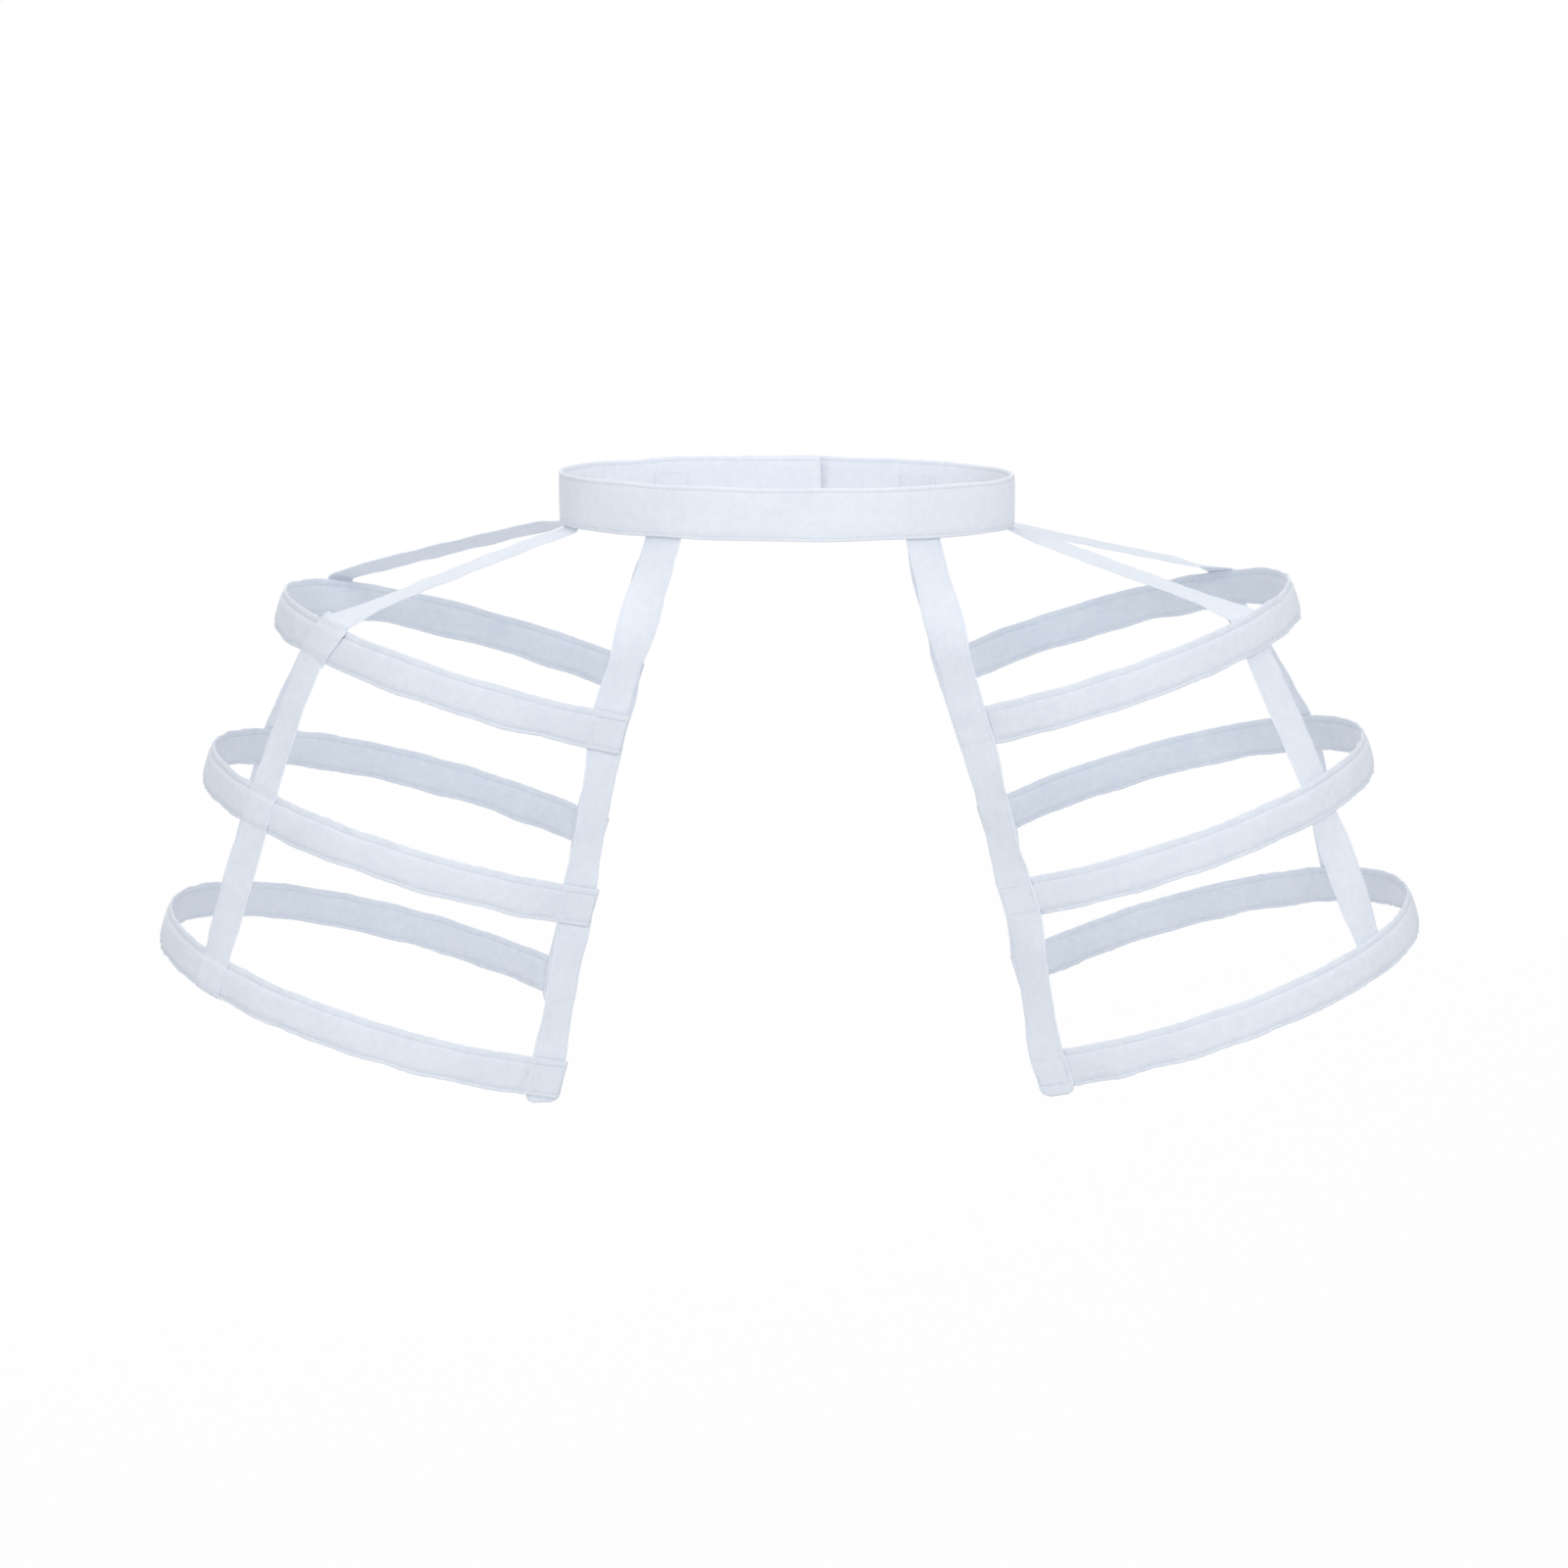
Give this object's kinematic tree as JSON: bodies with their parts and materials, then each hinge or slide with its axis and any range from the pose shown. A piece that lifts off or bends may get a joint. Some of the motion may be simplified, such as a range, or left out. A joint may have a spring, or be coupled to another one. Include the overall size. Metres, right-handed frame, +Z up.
{
  "type": "crinoline cage",
  "caption": "White cotton side-hoop crinoline cage: a waistband that carries a tilted basket of boned hoops at each hip to hold a skirt out.",
  "frame": {"origin": "middle of the waistband's oval, halfway up the band", "axes": "+Z up, front of the wearer towards -Y, the wearer's left at +X"},
  "size_m": [0.794, 0.3212, 0.3691],
  "materials": {
    "band_cotton": "white cotton waistband",
    "tape_cotton": "white woven cotton tape",
    "casing_cotton": "white cotton casing",
    "bone_steel": "white-coated flat spring steel",
    "tip_plastic": "white dipped plastic",
    "hook_metal": "nickel-plated sheet"
  },
  "bodies": {
    "root": {"waistband": "band_cotton", "waist_hooks": "hook_metal", "waist_bars": "hook_metal", "front_strap_left": "tape_cotton", "side_front_tape_left": "tape_cotton", "side_back_tape_left": "tape_cotton", "back_strap_left": "tape_cotton", "upper_casing_left": "casing_cotton", "upper_bone_left": "bone_steel", "upper_bone_tips_left": "tip_plastic", "middle_casing_left": "casing_cotton", "middle_bone_left": "bone_steel", "middle_bone_tips_left": "tip_plastic", "lower_casing_left": "casing_cotton", "lower_bone_left": "bone_steel", "lower_bone_tips_left": "tip_plastic", "front_strap_right": "tape_cotton", "side_front_tape_right": "tape_cotton", "side_back_tape_right": "tape_cotton", "back_strap_right": "tape_cotton", "upper_casing_right": "casing_cotton", "upper_bone_right": "bone_steel", "upper_bone_tips_right": "tip_plastic", "middle_casing_right": "casing_cotton", "middle_bone_right": "bone_steel", "middle_bone_tips_right": "tip_plastic", "lower_casing_right": "casing_cotton", "lower_bone_right": "bone_steel", "lower_bone_tips_right": "tip_plastic"}
  },
  "joints": []
}
